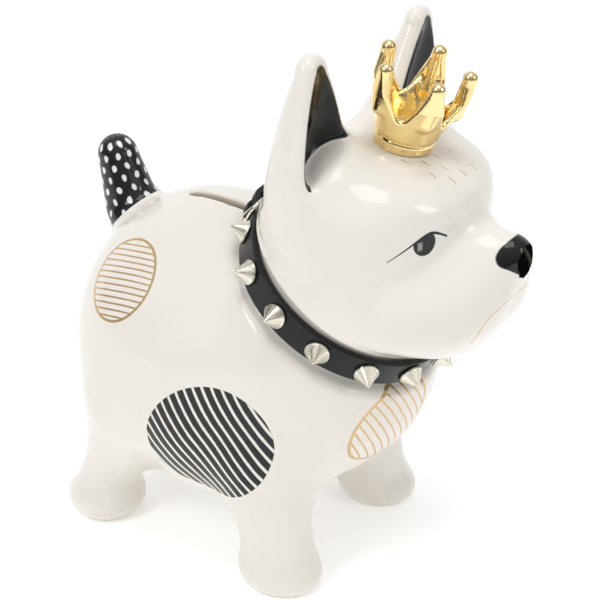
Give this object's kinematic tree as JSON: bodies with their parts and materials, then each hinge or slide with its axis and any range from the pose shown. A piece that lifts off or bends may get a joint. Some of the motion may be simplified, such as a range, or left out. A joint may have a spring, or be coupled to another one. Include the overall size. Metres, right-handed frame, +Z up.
{
  "type": "figural animal coin bank",
  "caption": "Hollow glazed ceramic dog coin bank with a slotted back, a gold crown, a buckled spiked collar and a pull-out belly stopper.",
  "frame": {"origin": "on the ground under the middle of the whole object's box", "axes": "+Z up, -Y forward out of the dog's nose, -X the dog's right side"},
  "size_m": [0.1158, 0.1802, 0.2115],
  "materials": {
    "ivory_glaze": "high-gloss clear glaze on ivory-white clay",
    "black_glaze": "high-gloss black glaze with white dots",
    "gold_lustre": "mirror gold lustre over glaze",
    "strap_black": "smooth coated black strap, semi-gloss",
    "nickel": "pale champagne nickel plate, polished",
    "screw_steel": "plain zinc",
    "stopper_rubber": "matte translucent white"
  },
  "bodies": {
    "figure": {"body_shell": "ivory_glaze", "head_shell": "ivory_glaze", "tail": "black_glaze", "crown": "gold_lustre"},
    "collar": {"collar_strap": "strap_black", "strap_keeper": "strap_black", "spike_01": "nickel", "spike_02": "nickel", "spike_03": "nickel", "spike_04": "nickel", "spike_05": "nickel", "spike_06": "nickel", "spike_07": "nickel", "spike_08": "nickel", "spike_09": "nickel", "spike_10": "nickel", "spike_11": "nickel", "spike_12": "nickel", "spike_screw_01": "screw_steel", "spike_screw_02": "screw_steel", "spike_screw_03": "screw_steel", "spike_screw_04": "screw_steel", "spike_screw_05": "screw_steel", "spike_screw_06": "screw_steel", "spike_screw_07": "screw_steel", "spike_screw_08": "screw_steel", "spike_screw_09": "screw_steel", "spike_screw_10": "screw_steel", "spike_screw_11": "screw_steel", "spike_screw_12": "screw_steel"},
    "buckle": {"buckle_frame": "nickel"},
    "tongue": {"buckle_tongue": "nickel"},
    "stopper": {"belly_stopper": "stopper_rubber"}
  },
  "joints": [
    {"name": "collar_swivel", "type": "hinge", "parent": "figure", "child": "collar", "pos_m": [0, -0.0262, 0.1158], "axis": [0, -0.5519, 0.8339], "continuous": true},
    {"name": "buckle_tilt", "type": "hinge", "parent": "collar", "child": "buckle", "pos_m": [-0.00369, 0.00902, 0.13911], "axis": [0, 0.5519, -0.8339], "range_deg": [0, 12]},
    {"name": "tongue_lift", "type": "hinge", "parent": "buckle", "child": "tongue", "pos_m": [-0.00369, 0.00902, 0.13911], "axis": [0, 0.5519, -0.8339], "range_deg": [0, 45]},
    {"name": "stopper_pull", "type": "slide", "parent": "figure", "child": "stopper", "axis": [0, 0, -1], "range_m": [0, 0.012]}
  ]
}
